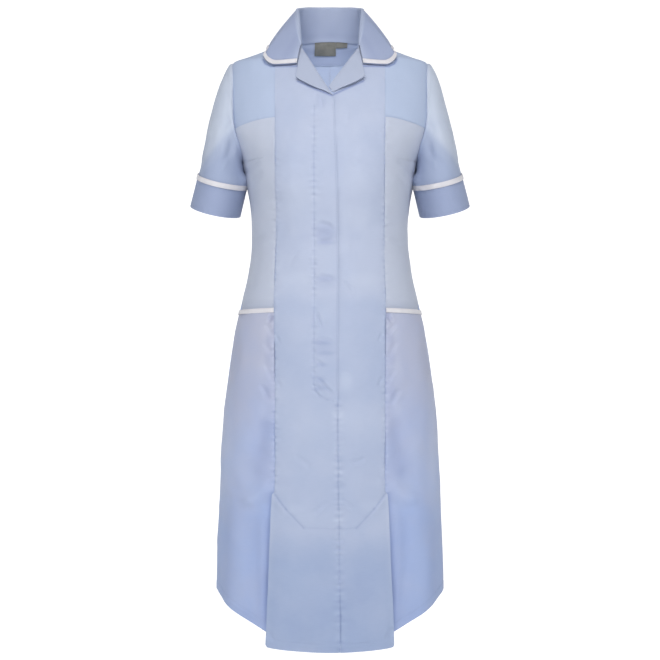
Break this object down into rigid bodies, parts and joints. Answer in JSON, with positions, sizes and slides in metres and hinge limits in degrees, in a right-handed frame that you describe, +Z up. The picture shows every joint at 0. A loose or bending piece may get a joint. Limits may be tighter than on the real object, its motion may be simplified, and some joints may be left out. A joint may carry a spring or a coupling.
{
  "type": "nurse uniform dress",
  "caption": "Short-sleeved knee-length uniform dress with braided collar, cuffs and pockets, zip fly front, princess seams, kick pleats and curved hem, standing open as worn.",
  "frame": {"origin": "middle of the neck, level with the neck ends of the shoulder seams, where the wearer's shoulders hold the dress", "axes": "+Z up, the wearer faces -Y, the wearer's left is +X"},
  "size_m": [0.4794, 0.2719, 1.0914],
  "materials": {
    "poly_cotton": "pale blue plain-weave poly-cotton",
    "yoke_poly_cotton": "pale blue plain-weave poly-cotton, two layers, a little deeper",
    "white_braid": "white woven braid",
    "label_grey": "grey woven satin label, bare"
  },
  "bodies": {
    "root": {"front_centre_right": "poly_cotton", "front_centre_left": "poly_cotton", "front_yoke_left": "yoke_poly_cotton", "front_yoke_right": "yoke_poly_cotton", "side_front_left": "poly_cotton", "side_front_right": "poly_cotton", "side_skirt_left": "poly_cotton", "side_skirt_right": "poly_cotton", "pocket_braid_left": "white_braid", "pocket_braid_right": "white_braid", "back_left": "poly_cotton", "back_right": "poly_cotton", "back_neck_facing": "poly_cotton", "neck_label": "label_grey", "size_tab": "label_grey", "collar": "poly_cotton", "collar_braid": "white_braid", "lapel_right": "poly_cotton", "lapel_left": "poly_cotton", "sleeve_left": "poly_cotton", "sleeve_right": "poly_cotton", "cuff_left": "poly_cotton", "cuff_right": "poly_cotton", "cuff_braid_left": "white_braid", "cuff_braid_right": "white_braid"}
  },
  "joints": []
}
